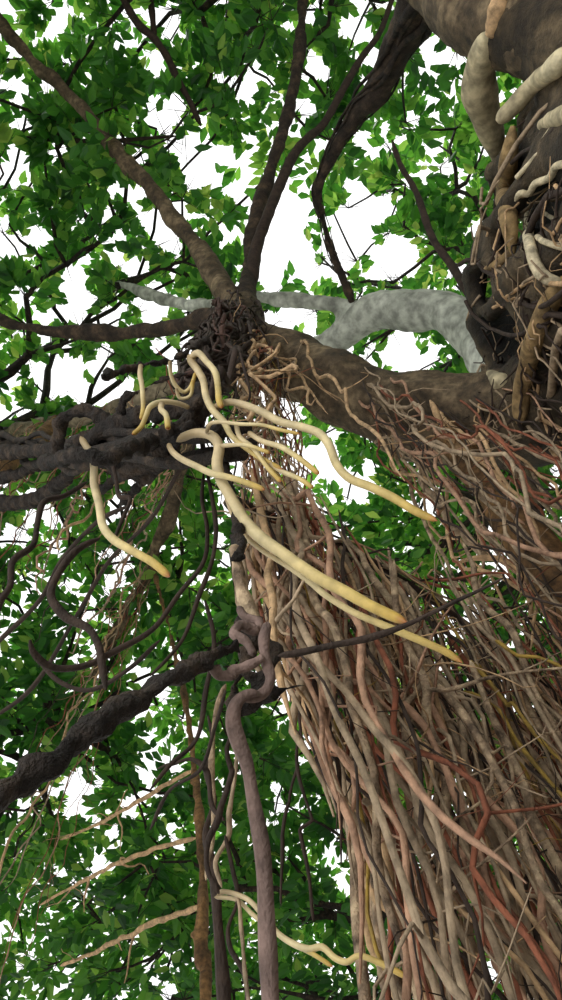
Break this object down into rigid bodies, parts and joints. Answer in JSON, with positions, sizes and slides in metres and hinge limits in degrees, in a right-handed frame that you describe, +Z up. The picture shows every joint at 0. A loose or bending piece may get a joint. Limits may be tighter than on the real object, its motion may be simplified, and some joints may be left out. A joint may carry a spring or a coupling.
{
  "type": "banyan tree",
  "caption": "Spreading banyan with a short thick trunk on a flared foot, fanned boughs, leafy crown and curtains of hanging aerial roots.",
  "frame": {"origin": "centre of the flat cut under the trunk, at ground level", "axes": "+Z up along the trunk; the overhead bough and the bundle of young roots lie on the -X side"},
  "size_m": [14.5688, 15.1859, 9.8635],
  "materials": {
    "bark": "rough brown bark",
    "pale_bark": "smooth pale grey bark",
    "root_bark": "dark fibrous root bark",
    "foliage": "satin green leaves"
  },
  "bodies": {
    "root": {"trunk": "bark", "bough_over": "bark", "bough_rear_left": "bark", "bough_rear_upper": "bark", "bough_left": "bark", "bough_twisted": "bark", "bough_grey": "pale_bark", "bough_grey_long": "pale_bark", "bough_grey_left": "pale_bark", "bough_inner_front": "bark", "bough_rear": "bark", "bough_front_left": "bark", "bough_front": "bark", "bough_front_right": "bark", "bough_right": "bark", "bough_rear_right": "bark", "leader": "bark", "bough_upper_right": "bark", "bough_upper_front": "bark", "root_bundle": "root_bark", "root_slanting": "root_bark", "root_pillar_over": "root_bark", "root_pillar_front": "root_bark", "root_pillar_left": "root_bark", "root_pillar_right": "root_bark", "root_pillar_front_right": "root_bark", "root_curtain_over_a": "root_bark", "root_curtain_over_b": "root_bark", "root_curtain_front_a": "root_bark", "root_curtain_front_b": "root_bark", "root_curtain_right": "root_bark", "root_curtain_rear_right": "root_bark", "root_curtain_rear": "root_bark", "crown_top": "foliage", "crown_inner_left": "foliage", "crown_inner_rear": "foliage", "crown_inner_right": "foliage", "crown_inner_front": "foliage", "crown_left": "foliage", "crown_left_rear": "foliage", "crown_rear_left": "foliage", "crown_rear": "foliage", "crown_rear_right": "foliage", "crown_right": "foliage", "crown_front_right": "foliage", "crown_front": "foliage", "crown_front_left": "foliage", "crown_left_front": "foliage"}
  },
  "joints": []
}
